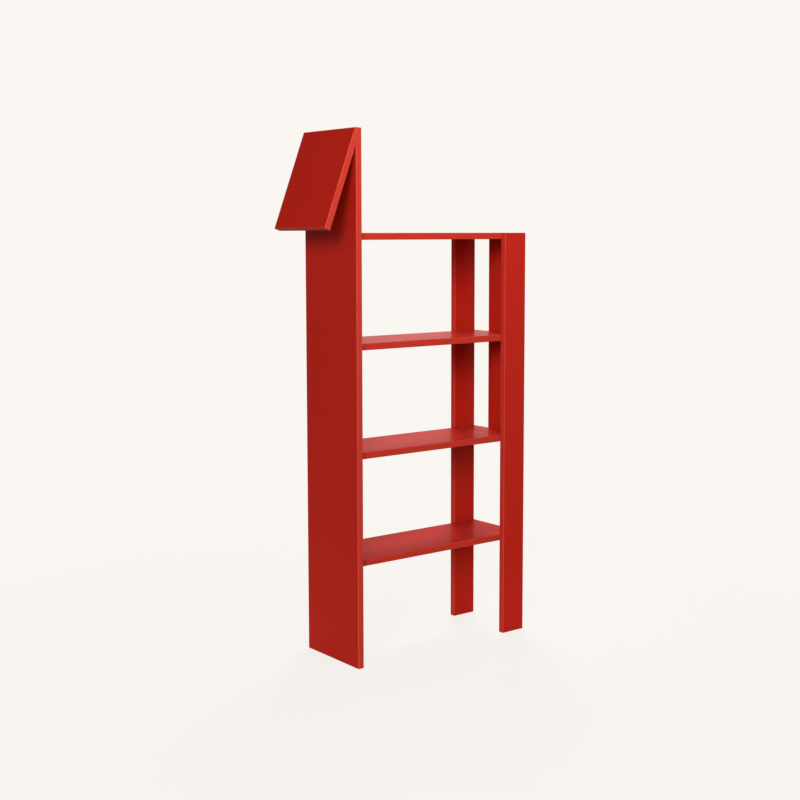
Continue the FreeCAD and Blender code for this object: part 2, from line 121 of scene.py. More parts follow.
@dataclass
class Shell:
    """Surface patches of one piece, each a grid or flat polygons, welded into one mesh."""

    points: list[np.ndarray] = field(default_factory=list)
    shading: list[np.ndarray] = field(default_factory=list)
    faces: list[np.ndarray] = field(default_factory=list)
    count: int = 0

    def add(self, points: np.ndarray, normals: np.ndarray,
            edge: np.ndarray, cut: np.ndarray) -> int:
        """Store vertices with their normals and masks.

        Args:
            points: Places, one row each.
            normals: Unit normals, one row each.
            edge: How far each vertex lies on a rounded edge, from 0 to 1.
            cut: How far each vertex lies on a cut side of the board, from 0 to 1.

        Returns:
            The index of the first of them.
        """
        first = self.count
        self.points.append(points)
        self.shading.append(np.column_stack([normals, edge, cut]))
        self.count += len(points)
        return first

    def add_grid(self, points: np.ndarray, normals: np.ndarray,
                 edge: np.ndarray, cut: np.ndarray) -> None:
        """Join a grid of rows by columns into quads; the last column meets the first.

        Args:
            points: Rows by columns by three.
            normals: The same shape.
            edge: Rows by columns.
            cut: Rows by columns.
        """
        rows, columns = points.shape[:2]
        first = self.add(points.reshape(-1, 3), normals.reshape(-1, 3), edge.ravel(), cut.ravel())
        row, column = np.meshgrid(np.arange(rows - 1), np.arange(columns), indexing="ij")
        after = (column + 1) % columns
        quads = np.stack([row * columns + column, row * columns + after,
                          (row + 1) * columns + after, (row + 1) * columns + column], axis=-1)
        self.faces.extend(first + quads.reshape(-1, 4))

    def add_flat(self, points: np.ndarray, normal: np.ndarray, cut: float,
                 faces: list[np.ndarray]) -> None:
        """Add flat faces that share one normal.

        Args:
            points: Places, one row each.
            normal: The faces' common normal.
            cut: The cut mask on all of them.
            faces: Index lists into the places.
        """
        size = len(points)
        first = self.add(points, np.tile(normal, (size, 1)), np.zeros(size), np.full(size, cut))
        self.faces.extend(first + np.asarray(face) for face in faces)

    def mesh(self, name: str) -> bpy.types.Mesh:
        """Weld the patches and make the mesh, with exact normals and the two masks on its corners.

        Vertices closer than the weld distance become one, corners that repeat their neighbour go,
        and a face whose own normal points against its corners' normals is turned round.

        Args:
            name: The mesh's name.

        Returns:
            The finished mesh.
        """
        places, shading = np.concatenate(self.points), np.concatenate(self.shading)
        _, first, welded = np.unique(np.round(places / WELD).astype(np.int64), axis=0,
                                     return_index=True, return_inverse=True)
        welded = welded.ravel()
        faces, corners = [], []
        for face in self.faces:
            kept = face[welded[face] != welded[np.roll(face, -1)]]
            if len(kept) < 3:
                continue
            ring = places[kept]
            facing = np.cross(ring, np.roll(ring, -1, axis=0)).sum(axis=0)
            if facing @ shading[kept, :3].sum(axis=0) < 0:
                kept = kept[::-1]
            faces.append(welded[kept].tolist())
            corners.append(kept)
        corner = np.concatenate(corners)
        mesh = bpy.data.meshes.new(name)
        mesh.from_pydata(places[first].tolist(), [], faces)
        mesh.normals_split_custom_set(shading[corner, :3].tolist())
        for index, mask in ((3, "edge"), (4, "cut")):
            values = mesh.attributes.new(mask, "FLOAT", "CORNER").data
            values.foreach_set("value", shading[corner, index].astype(np.float32))
        mesh.update()
        return mesh


@dataclass(frozen=True)
class Bore:
    """A round hole in one broad side of a board, turned from a profile of radius and depth."""

    centre: tuple[float, float]
    side: Side
    profile: tuple[tuple[float, float], ...]

    def mouth(self) -> np.ndarray:
        """Circle where the hole meets the board: the centre plus the radius times a unit circle."""
        radius, _ = self.profile[0]
        return np.array(self.centre) + radius * circle(BORE_STEPS)

    def wall(self, shell: Shell, level: float, place: Callable[[np.ndarray], np.ndarray]) -> None:
        """Carry each stretch of the profile round the hole's axis, and close its end with a disc.

        A point is the centre plus its radius times the cosine and sine of its angle, at its depth
        inward from the board's face. The normal is square to the stretch and points into the hole.

        Args:
            shell: The piece that the hole belongs to.
            level: The face's place along the board's thickness.
            place: Turns outline and thickness coordinates into the frame's.
        """
        spoke, sign = circle(BORE_STEPS), self.side.value
        none = np.zeros((2, BORE_STEPS))
        for (wide, shallow), (narrow, deep) in zip(self.profile, self.profile[1:]):
            radius, depth = np.array([wide, narrow]), np.array([shallow, deep])
            ring = np.array(self.centre) + radius[:, None, None] * spoke
            height = np.broadcast_to((level - sign * depth)[:, None, None], (2, BORE_STEPS, 1))
            run = math.hypot(wide - narrow, deep - shallow)
            inward = np.broadcast_to(-spoke * (deep - shallow) / run, (2, BORE_STEPS, 2))
            outward = np.full((2, BORE_STEPS, 1), sign * (wide - narrow) / run)
            shell.add_grid(place(np.concatenate([ring, height], axis=-1)),
                           place(np.concatenate([inward, outward], axis=-1)), none, none)
        radius, depth = self.profile[-1]
        end = np.column_stack([np.array(self.centre) + radius * spoke,
                               np.full(BORE_STEPS, level - sign * depth)])
        shell.add_flat(place(end), place(self.side.normal()), 0.0, [np.arange(BORE_STEPS)])


@dataclass
class RoundedBoard:
    """A flat board: a convex outline with rounded corners, and rounded edges along its faces.

    Sides are numbered as the outline's corners that they start from. A joint keeps the sides in
    square_sides square to both faces, and those in square_low square to the low face. The sides in
    broad_sides are no cut sides; cut_faces says that the two faces are.
    """

    name: str
    across: Across
    outline: np.ndarray
    low: float
    high: float
    square_sides: tuple[int, ...] = ()
    square_low: tuple[int, ...] = ()
    broad_sides: tuple[int, ...] = ()
    cut_faces: bool = False
    # Share of the paler edge colour on the rounded edges: partly wear, partly painted highlight.
    edge_wear_and_highlight: float = 0.4
    cut_share: float = 0.6
    bores: tuple[Bore, ...] = ()

    def place(self, local: np.ndarray) -> np.ndarray:
        """Turn outline and thickness coordinates into the frame's, by a cyclic change of axes."""
        return np.roll(local, self.across.value + 1, axis=-1)

    def face_cut(self) -> float:
        """The cut mask on the two flat faces."""
        return self.cut_share if self.cut_faces else 0.0

    def edge_radii(self, square: tuple[int, ...]) -> np.ndarray:
        """Radius of the edge between one face and each side; 0 where a joint keeps it square."""
        radii = np.full(len(self.outline), EDGE_RADIUS)
        radii[list(square + self.square_sides)] = 0.0
        return radii

    def corner(self, out: np.ndarray, index: int) -> tuple[np.ndarray, ...]:
        """Carry the thickness profile round one corner.

        The profile's angle f runs from 90 degrees on a face to 0 on the side, so a point lies
        r (1 - cos f) inside the outline and r (1 - sin f) below the face. The path's angle turns
        from one side's normal to the next. The normal is cos f times the path's normal plus sin f
        times the face's. Where both radii are equal, the corner is part of a ball.

        Args:
            out: Outward normals of the outline's sides.
            index: The corner's number, which the side after it shares.

        Returns:
            Points, normals, edge mask and cut mask: rows on the profile by columns on the path.
        """
        sides = [(index - 1) % len(out), index]
        before, after = out[sides]
        cosine = before @ after
        is_square = not set(sides).isdisjoint(self.square_sides)
        share = np.linspace(0.0, 1.0, 2 if is_square else ARC_STEPS + 1)
        sweep = math.atan2(before[0] * after[1] - before[1] * after[0], cosine)
        angle = math.atan2(before[1], before[0]) + share * sweep
        normal = np.column_stack([np.cos(angle), np.sin(angle)])

        turn = np.linspace(0.0, np.pi / 2, ARC_STEPS + 1)[:, None]
        tilt = np.concatenate([turn[::-1], turn])
        is_high = np.repeat([[False], [True]], ARC_STEPS + 1, axis=0)
        low_radius, high_radius = (np.interp(share, [0, 1], self.edge_radii(square)[sides])
                                   for square in (self.square_low, ()))
        radius = np.where(is_high, high_radius, low_radius)
        inset, drop = radius * (1 - np.cos(tilt)), radius * (1 - np.sin(tilt))
        if is_square:
            first, last = inset[:, :1], inset[:, -1:]
            shift = (first - last * cosine) * before + (last - first * cosine) * after
            spot = (self.outline[index] - shift / (1 - cosine ** 2))[:, None]
            spot, bend = np.repeat(spot, len(share), axis=1), 0.0
        else:
            middle = self.outline[index] - EDGE_RADIUS * (before + after) / (1 + cosine)
            spot, bend = middle + (EDGE_RADIUS - inset)[..., None] * normal, np.sin(np.pi * share)
        height = np.where(is_high, self.high - drop, self.low + drop)
        points = np.concatenate([spot, height[..., None]], axis=-1)

        lean = np.where(is_high, 1.0, -1.0) * np.sin(tilt)
        normals = np.concatenate([np.cos(tilt)[..., None] * normal,
                                  np.broadcast_to(lean[..., None], (*radius.shape, 1))], axis=-1)
        edge = np.maximum(np.sin(2 * tilt) * (radius > 0), bend * np.cos(tilt))
        side_cut = [self.cut_share * (side not in self.broad_sides) for side in sides]
        cut = np.interp(share, [0, 1], side_cut) * np.cos(tilt)
        return points, normals, self.edge_wear_and_highlight * edge, cut + self.face_cut() * (1 - np.cos(tilt))

    def rim(self, shell: Shell) -> tuple[np.ndarray, np.ndarray]:
        """Carry the rounded thickness profile along the whole outline.

        Args:
            shell: The piece that the rim belongs to.

        Returns:
            The outlines of the two flat faces, low and high.
        """
        along = np.roll(self.outline, -1, axis=0) - self.outline
        along /= np.linalg.norm(along, axis=1, keepdims=True)
        out = np.column_stack([along[:, 1], -along[:, 0]])
        blocks = [self.corner(out, index) for index in range(len(out))]
        points, normals, edge, cut = (np.concatenate(part, axis=1) for part in zip(*blocks))
        shell.add_grid(self.place(points), self.place(normals), edge, cut)
        return points[0], points[-1]

    def cap(self, shell: Shell, ring: np.ndarray, side: Side) -> None:
        """Close one face: a polygon, or triangles between the outline and the holes' mouths.

        Args:
            shell: The piece that the face belongs to.
            ring: The face's outline, with its thickness coordinate.
            side: Which of the two faces it is.
        """
        step = np.linalg.norm(ring - np.roll(ring, 1, axis=0), axis=1)
        ring = ring[step > WELD]
        normal = self.place(side.normal())
        bores = [bore for bore in self.bores if bore.side is side]
        if not bores:
            shell.add_flat(self.place(ring), normal, self.face_cut(), [np.arange(len(ring))])
            return
        rings = [ring[:, :2]] + [bore.mouth() for bore in bores]
        flat = np.concatenate(rings)
        edges, first = [], 0
        for loop in rings:
            index = first + np.arange(len(loop))
            edges.extend(zip(index.tolist(), np.roll(index, -1).tolist()))
            first += len(loop)
        _, _, faces, origins, _, _ = delaunay_2d_cdt(
            [Vector(spot) for spot in flat], edges, [], CDT_INSIDE_WITH_HOLES, WELD)
        source = [origin[0] for origin in origins]
        triangles = [np.array([source[index] for index in face]) for face in faces]
        level = np.full((len(flat), 1), ring[0, 2])
        shell.add_flat(self.place(np.hstack([flat, level])), normal, self.face_cut(), triangles)

    def build(self, material: Material, slot: str) -> None:
        """Make the board, put it in its node's place and ride it on the body.

        Args:
            material: The finish.
            slot: The record's name for that finish; not used.
        """
        shell = Shell()
        low, high = self.rim(shell)
        self.cap(shell, low, Side.LOW)
        self.cap(shell, high, Side.HIGH)
        for bore in self.bores:
            bore.wall(shell, self.high if bore.side is Side.HIGH else self.low, self.place)
        mesh = shell.mesh(f"{self.name}_board")
        mesh.materials.append(material)
        piece = bpy.data.objects.new(f"{self.name}_board", mesh)
        bpy.context.scene.collection.objects.link(piece)
        self.check_seat(mesh)
        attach(piece, BODY)
        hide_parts(self.name)
        log.info("%s: %d faces", piece.name, len(mesh.polygons))

    def check_seat(self, mesh: bpy.types.Mesh) -> None:
        """Stop if the board doesn't fill the box of the node that it stands for."""
        spots = np.empty(len(mesh.vertices) * 3, np.float32)
        mesh.vertices.foreach_get("co", spots)
        spots = spots.reshape(-1, 3)
        box = np.array([list(corner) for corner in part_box(self.name)])
        error = np.abs(np.array([spots.min(axis=0), spots.max(axis=0)]) - box).max()
        if error > SEAT_TOLERANCE:
            raise ValueError(f"{self.name} is {error * 1000:.3f} mm off its node")


class NodeTree:
    """Short calls for adding, setting and linking the nodes of one shader tree."""

    def __init__(self, tree: bpy.types.NodeTree) -> None:
        """Keep the tree and empty it."""
        self.tree = tree
        tree.nodes.clear()

    def add(self, kind: str, **settings: object) -> bpy.types.Node:
        """Add a node and set its properties.

        Args:
            kind: The node's type after "ShaderNode", or its whole type.
            settings: Properties by name.

        Returns:
            The node.
        """
        whole = kind if kind.startswith("Node") else f"ShaderNode{kind}"
        node = self.tree.nodes.new(whole)
        for name, value in settings.items():
            setattr(node, name, value)
        return node

    def link(self, source: Socket, target: Socket) -> None:
        """Join an output to an input."""
        self.tree.links.new(source, target)

    def feed(self, target: Socket, value: Value) -> None:
        """Link the value to a socket if it is an output, and set it there otherwise."""
        if isinstance(value, Socket):
            self.link(value, target)
        else:
            target.default_value = value

    def math(self, operation: str, *values: Value, clamp: bool = False) -> Socket:
        """Calculate with numbers or outputs.

        Args:
            operation: The Math node's operation.
            values: Its inputs in order.
            clamp: Keep the result from 0 to 1.

        Returns:
            The result's socket.
        """
        node = self.add("Math", operation=operation, use_clamp=clamp)
        for target, value in zip(node.inputs, values):
            self.feed(target, value)
        return node.outputs[0]

    def ramp(self, value: Value, low: float, high: float) -> Socket:
        """Rise evenly from 0 at the low value to 1 at the high one."""
        return self.math("DIVIDE", self.math("SUBTRACT", value, low), high - low, clamp=True)

    def mix(self, factor: Value, first: Value, second: Value) -> Socket:
        """Mix two colours.

        Args:
            factor: Share of the second one.
            first: Colour or output.
            second: Colour or output.

        Returns:
            The mixed colour's socket.
        """
        node = self.add("Mix", data_type="RGBA")
        sockets = {socket.identifier: socket for socket in node.inputs}
        for name, value in (("Factor_Float", factor), ("A_Color", first), ("B_Color", second)):
            self.feed(sockets[name], (*value, 1.0) if isinstance(value, tuple) else value)
        return next(socket for socket in node.outputs if socket.identifier == "Result_Color")

    def mix_shaders(self, factor: Socket, first: bpy.types.Node,
                    second: bpy.types.Node) -> bpy.types.Node:
        """Mix two shaders.

        Args:
            factor: Share of the second one.
            first: Shader node.
            second: Shader node.

        Returns:
            The mixing node.
        """
        node = self.add("MixShader")
        for target, source in zip(node.inputs, (factor, first.outputs[0], second.outputs[0])):
            self.link(source, target)
        return node

    def noise(self, scale: Value, detail: float, stretch: Place | None = None) -> Socket:
        """Noise on Object coordinates.

        Args:
            scale: Cells per metre, a number or an output.
            detail: Octaves.
            stretch: Scales along the three axes, if they differ.

        Returns:
            The noise's value, about 0.5 on average.
        """
        place = self.add("TexCoord").outputs["Object"]
        if stretch:
            mapping = self.add("Mapping")
            mapping.inputs["Scale"].default_value = stretch
            self.link(place, mapping.inputs["Vector"])
            place = mapping.outputs["Vector"]
        node = self.add("TexNoise")
        self.link(place, node.inputs["Vector"])
        self.feed(node.inputs["Scale"], scale)
        node.inputs["Detail"].default_value = detail
        return node.outputs[0]

    def bump(self, height: Socket, depth: float, strength: float = 1.0) -> Socket:
        """Normal of a surface with fine relief.

        Args:
            height: The relief, from 0 to 1.
            depth: What a height of 1 stands for.
            strength: Share of the relief that shows.

        Returns:
            The normal's socket.
        """
        node = self.add("Bump")
        node.inputs["Strength"].default_value = strength
        node.inputs["Distance"].default_value = depth
        self.link(height, node.inputs["Height"])
        return node.outputs["Normal"]

    def group(self, tree: bpy.types.NodeTree, **values: Value) -> Socket:
        """Place a shared effect with its own values.

        Args:
            tree: The effect's node group.
            values: Inputs by name.

        Returns:
            The effect's result.
        """
        node = self.add("Group", node_tree=tree)
        for name, value in values.items():
            self.feed(node.inputs[name], value)
        return node.outputs[0]


class Effects:
    """Surface effects that several finishes share, each a node group that is built once."""

    CLOUD_DETAIL = 3.0
    # Noise that breaks up the paler edges, which are partly wear and partly painted highlight.
    WEAR_AND_HIGHLIGHT_DETAIL = 4.0
    WEAR_AND_HIGHLIGHT_GAIN = 1.4
    RIPPLE_DETAIL = 1.0
    FINE_DETAIL = 2.0
    FINE_SCALE = 3.7
    FINE_SHARE = 0.33
    DUST_DETAIL = 5.0
    DUST_SHARPNESS = 4.0

    def __init__(self) -> None:
        """Build the groups."""
        self.cloud = self._cloud()
        self.edge_wear_and_highlight = self._edge_wear_and_highlight()
        self.skin = self._skin()
        self.dust = self._dust()

    @staticmethod
    def _start(name: str, inputs: tuple[str, ...], output: str
               ) -> tuple[NodeTree, dict[str, Socket], Socket]:
        """Make an empty group with named numbers in and one number out.

        Args:
            name: The group's name.
            inputs: Input names.
            output: The output's name.

        Returns:
            The tree, the inputs' sockets by name, and the output's socket.
        """
        tree = bpy.data.node_groups.new(name, "ShaderNodeTree")
        for title in inputs:
            tree.interface.new_socket(name=title, in_out="INPUT", socket_type="NodeSocketFloat")
        tree.interface.new_socket(name=output, in_out="OUTPUT", socket_type="NodeSocketFloat")
        nodes = NodeTree(tree)
        given, made = nodes.add("NodeGroupInput"), nodes.add("NodeGroupOutput")
        return nodes, {title: given.outputs[title] for title in inputs}, made.inputs[output]

    def _cloud(self) -> bpy.types.NodeTree:
        """Slow unevenness: a level plus an amount times broad noise that swings from -1 to 1."""
        nodes, given, value = self._start("cloud", ("Level", "Amount", "Scale"), "Value")
        broad = nodes.noise(given["Scale"], self.CLOUD_DETAIL)
        swing = nodes.math("MULTIPLY_ADD", broad, 2.0, -1.0)
        nodes.link(nodes.math("MULTIPLY_ADD", swing, given["Amount"], given["Level"]), value)
        return nodes.tree

    def _edge_wear_and_highlight(self) -> bpy.types.NodeTree:
        """Thin lacquer and a painted highlight on rounded edges: the edge mask times an uneven
        noise.
        """
        nodes, given, mask = self._start("edge_wear_and_highlight", ("Amount", "Scale"), "Mask")
        worn_and_highlit = nodes.add("Attribute", attribute_name="edge").outputs["Fac"]
        rough = nodes.noise(given["Scale"], self.WEAR_AND_HIGHLIGHT_DETAIL)
        uneven = nodes.math("MULTIPLY", rough, self.WEAR_AND_HIGHLIGHT_GAIN, clamp=True)
        thin_and_highlight = nodes.math("MULTIPLY", worn_and_highlit, uneven)
        nodes.link(nodes.math("MULTIPLY", thin_and_highlight, given["Amount"]), mask)
        return nodes.tree

    def _skin(self) -> bpy.types.NodeTree:
        """Sprayed or worked skin: fine ripple noise plus a third of a finer one, as a height."""
        nodes, given, height = self._start("skin", ("Scale",), "Height")
        ripple = nodes.noise(given["Scale"], self.RIPPLE_DETAIL)
        finer = nodes.math("MULTIPLY", given["Scale"], self.FINE_SCALE)
        fine = nodes.noise(finer, self.FINE_DETAIL)
        nodes.link(nodes.math("MULTIPLY_ADD", fine, self.FINE_SHARE, ripple), height)
        return nodes.tree

    def _dust(self) -> bpy.types.NodeTree:
        """Fine dust on what faces up: the normal's upward part, sharpened, times blotchy noise."""
        nodes, given, mask = self._start("dust", ("Amount", "Scale"), "Mask")
        split = nodes.add("SeparateXYZ")
        nodes.link(nodes.add("NewGeometry").outputs["Normal"], split.inputs[0])
        upward = nodes.math("MULTIPLY_ADD", split.outputs["Z"], self.DUST_SHARPNESS,
                            1.0 - self.DUST_SHARPNESS, clamp=True)
        blotch = nodes.noise(given["Scale"], self.DUST_DETAIL)
        lying = nodes.math("MULTIPLY", upward, blotch)
        nodes.link(nodes.math("MULTIPLY", lying, given["Amount"]), mask)
        return nodes.tree


def new_material(name: str) -> tuple[Material, NodeTree, bpy.types.Node]:
    """Make a material with a Principled shader on its output.

    Args:
        name: The material's name.

    Returns:
        The material, its tree and the shader node.
    """
    material = bpy.data.materials.new(name)
    material.use_nodes = True
    nodes = NodeTree(material.node_tree)
    shader = nodes.add("BsdfPrincipled")
    nodes.link(shader.outputs[0], nodes.add("OutputMaterial").inputs["Surface"])
    return material, nodes, shader


@dataclass(frozen=True)
class LacquerFinish:
    """Satin lacquer on fibreboard: deeper on broad sides, lighter and duller on cut ones, with a
    painted highlight on rounded edges. The cut sides' lighter, paler colour is partly painted
    sheen.
    """

    slot: str = "red_lacquer"
    face: Colour = (0.42, 0.0145, 0.0072)
    # Cut sides' colour: lighter and paler than the broad faces, partly the sides' own lacquer and
    # partly painted sheen.
    cut: Colour = (0.45, 0.036, 0.0225)
    # Paler colour of the rounded edges: thin lacquer and a painted highlight.
    thin_and_highlight: Colour = (0.78, 0.13, 0.09)
    dust: Colour = srgb(214, 206, 198)
    tone_swing: float = 0.025
    tone_scale: float = 6.0
    wear_and_highlight: float = 0.75
    wear_and_highlight_scale: float = 90.0
    dust_amount: float = 0.03
    dust_scale: float = 35.0
    specular: float = 0.02
    roughness: float = 0.27
    cut_roughness: float = 0.5
    roughness_swing: float = 0.018
    roughness_scale: float = 18.0
    ripple_scale: float = 420.0
    ripple_depth: float = 0.000012
    ripple_strength: float = 0.5

    def material(self, effects: Effects) -> Material:
        """Build the material.

        Args:
            effects: The shared groups.

        Returns:
            The lacquer.
        """
        material, nodes, shader = new_material(self.slot)
        side = nodes.add("Attribute", attribute_name="cut").outputs["Fac"]
        tone = nodes.add("HueSaturation")
        nodes.link(nodes.mix(side, self.face, self.cut), tone.inputs["Color"])
        cloud = nodes.group(effects.cloud, Level=1.0, Amount=self.tone_swing, Scale=self.tone_scale)
        nodes.link(cloud, tone.inputs["Value"])
        # Rounded edges lightened: partly wear, partly painted highlight.
        wear_and_highlight = nodes.group(effects.edge_wear_and_highlight, Amount=self.wear_and_highlight, Scale=self.wear_and_highlight_scale)
        worn_and_highlit = nodes.mix(wear_and_highlight, tone.outputs["Color"], self.thin_and_highlight)
        dust = nodes.group(effects.dust, Amount=self.dust_amount, Scale=self.dust_scale)
        nodes.link(nodes.mix(dust, worn_and_highlit, self.dust), shader.inputs["Base Color"])
        duller = self.cut_roughness - self.roughness
        level = nodes.math("MULTIPLY_ADD", side, duller, self.roughness)
        gloss = nodes.group(effects.cloud, Level=level, Amount=self.roughness_swing,
                            Scale=self.roughness_scale)
        nodes.link(gloss, shader.inputs["Roughness"])
        shader.inputs["Specular IOR Level"].default_value = self.specular
        ripple = nodes.group(effects.skin, Scale=self.ripple_scale)
        nodes.link(nodes.bump(ripple, self.ripple_depth, self.ripple_strength),
                   shader.inputs["Normal"])
        return material


@dataclass(frozen=True)
class BeechFinish:
    """Bare beech of the dowels, with long pores."""

    slot: str = "beech_dowel"
    light: Colour = srgb(216, 178, 132)
    dark: Colour = srgb(180, 136, 92)
    pore_scale: float = 260.0
    pore_detail: float = 4.0
    pore_stretch: Place = (1.0, 6.0, 6.0)
    pore_contrast: float = 2.4
    pore_offset: float = -0.7
    pore_depth: float = 0.00008
    roughness: float = 0.62
    roughness_swing: float = 0.08
    roughness_scale: float = 300.0

    def material(self, effects: Effects) -> Material:
        """Build the material.

        Args:
            effects: The shared groups.

        Returns:
            The wood.
        """
        material, nodes, shader = new_material(self.slot)
        pores = nodes.noise(self.pore_scale, self.pore_detail, self.pore_stretch)
        shade = nodes.math("MULTIPLY_ADD", pores, self.pore_contrast, self.pore_offset, clamp=True)
        nodes.link(nodes.mix(shade, self.light, self.dark), shader.inputs["Base Color"])
        rough = nodes.group(effects.cloud, Level=self.roughness, Amount=self.roughness_swing,
                            Scale=self.roughness_scale)
        nodes.link(rough, shader.inputs["Roughness"])
        nodes.link(nodes.bump(pores, self.pore_depth), shader.inputs["Normal"])
        return material


@dataclass(frozen=True)
class MetalFinish:
    """Metal of the fittings: zinc-plated steel, or bare cast zinc with a grained skin."""

    slot: str
    bright: Colour
    dull: Colour
    roughness: float
    roughness_swing: float
    grain_scale: float
    grain_depth: float
    stain_level: float = 0.5
    stain_swing: float = 0.5
    stain_scale: float = 140.0
    roughness_scale: float = 500.0

    def material(self, effects: Effects) -> Material:
        """Build the material.

        Args:
            effects: The shared groups.

        Returns:
            The metal.
        """
        material, nodes, shader = new_material(self.slot)
        shader.inputs["Metallic"].default_value = 1.0
        stain = nodes.group(effects.cloud, Level=self.stain_level, Amount=self.stain_swing,
                            Scale=self.stain_scale)
        nodes.link(nodes.mix(stain, self.bright, self.dull), shader.inputs["Base Color"])
        rough = nodes.group(effects.cloud, Level=self.roughness, Amount=self.roughness_swing,
                            Scale=self.roughness_scale)
        nodes.link(rough, shader.inputs["Roughness"])
        grain = nodes.group(effects.skin, Scale=self.grain_scale)
        nodes.link(nodes.bump(grain, self.grain_depth), shader.inputs["Normal"])
        return material


STEEL = MetalFinish("plated_steel", bright=srgb(204, 204, 198), dull=srgb(166, 166, 160),
                    roughness=0.28, roughness_swing=0.06, grain_scale=1500.0, grain_depth=0.00001)
ZINC = MetalFinish("cast_zinc", bright=srgb(182, 182, 180), dull=srgb(142, 142, 142),
                   roughness=0.42, roughness_swing=0.08, grain_scale=2200.0, grain_depth=0.00003)


@dataclass
class NeckAndHead:
    """The full-height neck panel, and the head plate that slants down from its top."""

    depth: float = 0.236
    height: float = 1.420
    outer_face: float = -0.256974
    head_length: float = 0.274
    head_angle: float = math.radians(20.65)
    head_land: float = 0.002
    screw_offset: float = 0.088
    screw_height: float = 1.384271
    screw_mouth: float = 0.0041
    screw_hole: float = 0.0021
    screw_depth: float = 0.9 * BOARD
    # The head's and neck's rounded edges take more of the painted highlight.
    edge_wear_and_highlight: float = 0.7
    # The head and neck take the whole of the cut colour, with its painted sheen.
    cut_share: float = 1.0

    def neck(self) -> RoundedBoard:
        """The neck: square along its outer top edge, where the head joins; countersunk inside."""
        half = self.depth / 2
        sink = self.screw_mouth - self.screw_hole
        profile = ((self.screw_mouth, 0.0), (self.screw_hole, sink),
                   (self.screw_hole, self.screw_depth))
        holes = tuple(Bore((across, self.screw_height), Side.HIGH, profile)
                      for across in (-self.screw_offset, 0.0, self.screw_offset))
        top_side = 2
        return RoundedBoard("neck_panel", Across.X, rectangle((-half, 0.0), (half, self.height)),
                            self.outer_face, self.outer_face + BOARD, square_low=(top_side,),
                            edge_wear_and_highlight=self.edge_wear_and_highlight, cut_share=self.cut_share, bores=holes)

    def head(self) -> RoundedBoard:
        """The head, an outline of five corners in height and length that runs through the depth."""
        sine, cosine = math.sin(self.head_angle), math.cos(self.head_angle)
        reach = self.head_land + self.head_length * sine
        fall = self.head_length * cosine
        touch = (BOARD - self.head_land * cosine) / sine
        corners = np.array([(0.0, 0.0), (0.0, -self.head_land), (-fall, -reach),
                            (-fall - BOARD * sine, BOARD * cosine - reach), (-touch, 0.0)])
        outline = (corners + (self.height, self.outer_face))[::-1]
        inner, outer, land, joint = 0, 2, 3, 4
        return RoundedBoard("head_panel", Across.Y, outline, -self.depth / 2, self.depth / 2,
                            square_sides=(land, joint), broad_sides=(inner, outer, joint),
                            cut_faces=True, edge_wear_and_highlight=self.edge_wear_and_highlight, cut_share=self.cut_share)

    def build(self, lacquer: Material, slot: str) -> None:
        """Build both boards in the lacquer."""
        self.neck().build(lacquer, slot)
        self.head().build(lacquer, slot)


@dataclass
class ShelfBody:
    """The shelves, with the bores of the cam discs in their undersides."""

    left: float = -0.238974
    length: float = 0.576
    depth: float = 0.200
    tops: dict[str, float] = field(default_factory=lambda: {
        "lower_shelf": 0.288, "middle_shelf": 0.576, "upper_shelf": 0.864, "top_shelf": 1.152})
    without_tail: str = "lower_shelf"
    leg_width: float = 0.078
    cam_setback: float = 0.024
    neck_cam_offset: float = 0.050
    cam_radius: float = 0.0076
    cam_depth: float = 0.01235
    # The shelves' rounded edges take less of the painted highlight.
    edge_wear_and_highlight: float = 0.25

    def shelf(self, name: str, top: float) -> RoundedBoard:
        """One shelf, square at the end that meets the neck.

        Args:
            name: Its node.
            top: Height of its upper face.

        Returns:
            The board.
        """
        half, right = self.depth / 2, self.left + self.length
        leg_middle, leg_cam = right - self.leg_width / 2, half - self.cam_setback
        spots = [(self.left + self.cam_setback, sign * self.neck_cam_offset) for sign in (-1, 1)]
        spots += [(leg_middle, sign * leg_cam) for sign in (-1, 1)]
        if name != self.without_tail:
            spots.append((right - self.cam_setback, 0.0))
        profile = ((self.cam_radius, 0.0), (self.cam_radius, self.cam_depth))
        neck_side = 3
        return RoundedBoard(name, Across.Z, rectangle((self.left, -half), (right, half)),
                            top - BOARD, top, square_sides=(neck_side,), edge_wear_and_highlight=self.edge_wear_and_highlight,
                            bores=tuple(Bore(spot, Side.LOW, profile) for spot in spots))

    def build(self, lacquer: Material, slot: str) -> None:
        """Build every shelf in the lacquer."""
        for name, top in self.tops.items():
            self.shelf(name, top).build(lacquer, slot)


@dataclass
class LegsAndTail:
    """The two rear legs and the tail: upright strips on the shelves' long edges and right ends."""

    leg_left: float = 0.259026
    leg_right: float = 0.337026
    shelf_edge: float = 0.100
    top: float = 1.152
    tail_bottom: float = 0.558
    tail_half_width: float = 0.039

    def strips(self) -> list[RoundedBoard]:
        """The three strips, each rounded all round."""
        half, edge, end = self.tail_half_width, self.shelf_edge, self.leg_right
        leg = rectangle((0.0, self.leg_left), (self.top, self.leg_right))
        tail = rectangle((-half, self.tail_bottom), (half, self.top))
        return [RoundedBoard("front_leg", Across.Y, leg, -edge - BOARD, -edge),
                RoundedBoard("rear_leg", Across.Y, leg, edge, edge + BOARD),
                RoundedBoard("tail_panel", Across.X, tail, end, end + BOARD)]

    def build(self, lacquer: Material, slot: str) -> None:
        """Build the strips in the lacquer."""
        for strip in self.strips():
            strip.build(lacquer, slot)


